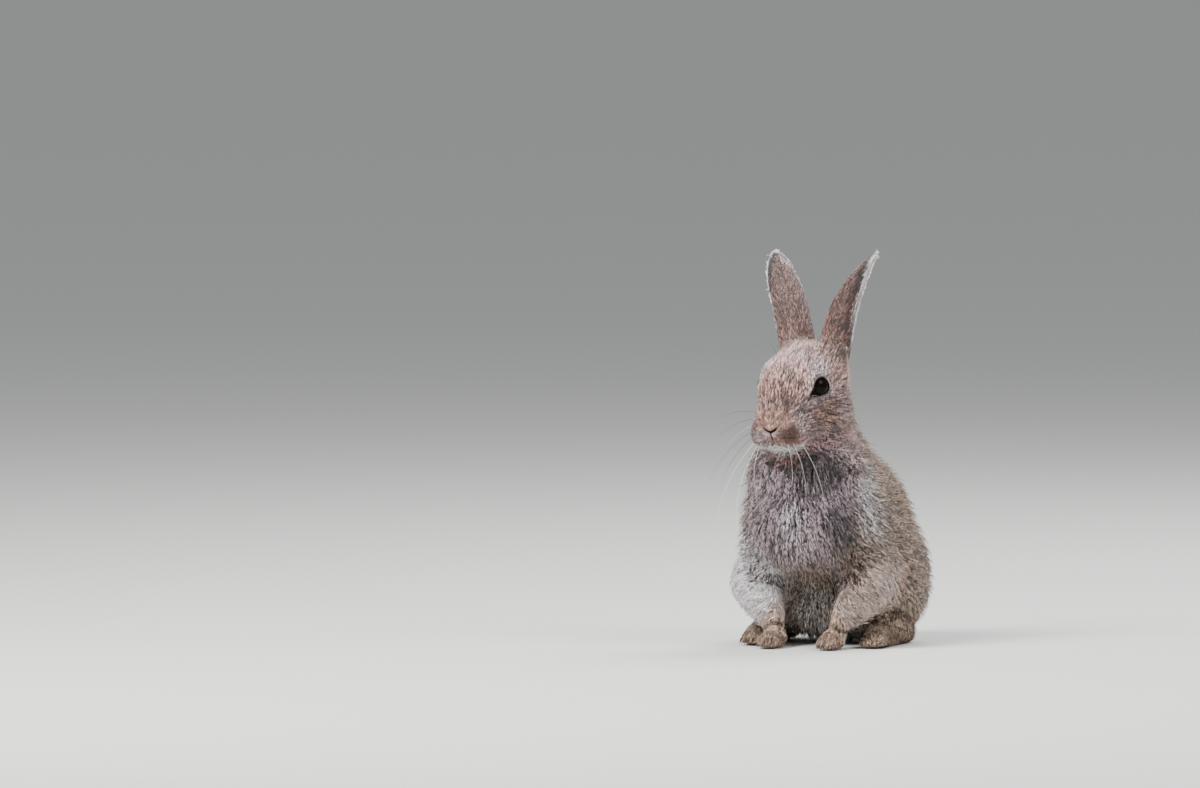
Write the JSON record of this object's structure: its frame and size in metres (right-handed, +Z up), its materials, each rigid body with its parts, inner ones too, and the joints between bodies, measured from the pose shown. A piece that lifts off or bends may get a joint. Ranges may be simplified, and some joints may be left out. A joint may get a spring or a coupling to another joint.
{
  "type": "rabbit",
  "caption": "Still, life-size model of a young European rabbit sitting upright and alert, ears raised, forelegs straight, on flat soles.",
  "frame": {"origin": "on the floor, under the middle of the object's box", "axes": "+X the animal's left side, -Y the way the chest faces, +Z up"},
  "size_m": [0.1, 0.1588, 0.225],
  "materials": {
    "body_coat": "soft ticked grey-brown fur",
    "ear_coat": "short dark-ticked fur with a pale edge",
    "paw_coat": "short pinkish tan fur",
    "tail_coat": "fluffy fur, white below and dark on top",
    "eye": "wet dark brown gloss"
  },
  "bodies": {
    "root": {"head": "body_coat", "neck": "body_coat", "trunk": "body_coat", "thigh_left": "body_coat", "thigh_right": "body_coat", "foreleg_left": "body_coat", "foreleg_right": "body_coat", "ear_left": "ear_coat", "ear_right": "ear_coat", "forepaw_left": "paw_coat", "forepaw_right": "paw_coat", "hind_foot_left": "paw_coat", "hind_foot_right": "paw_coat", "tail": "tail_coat", "eye_left": "eye", "eye_right": "eye"}
  },
  "joints": []
}
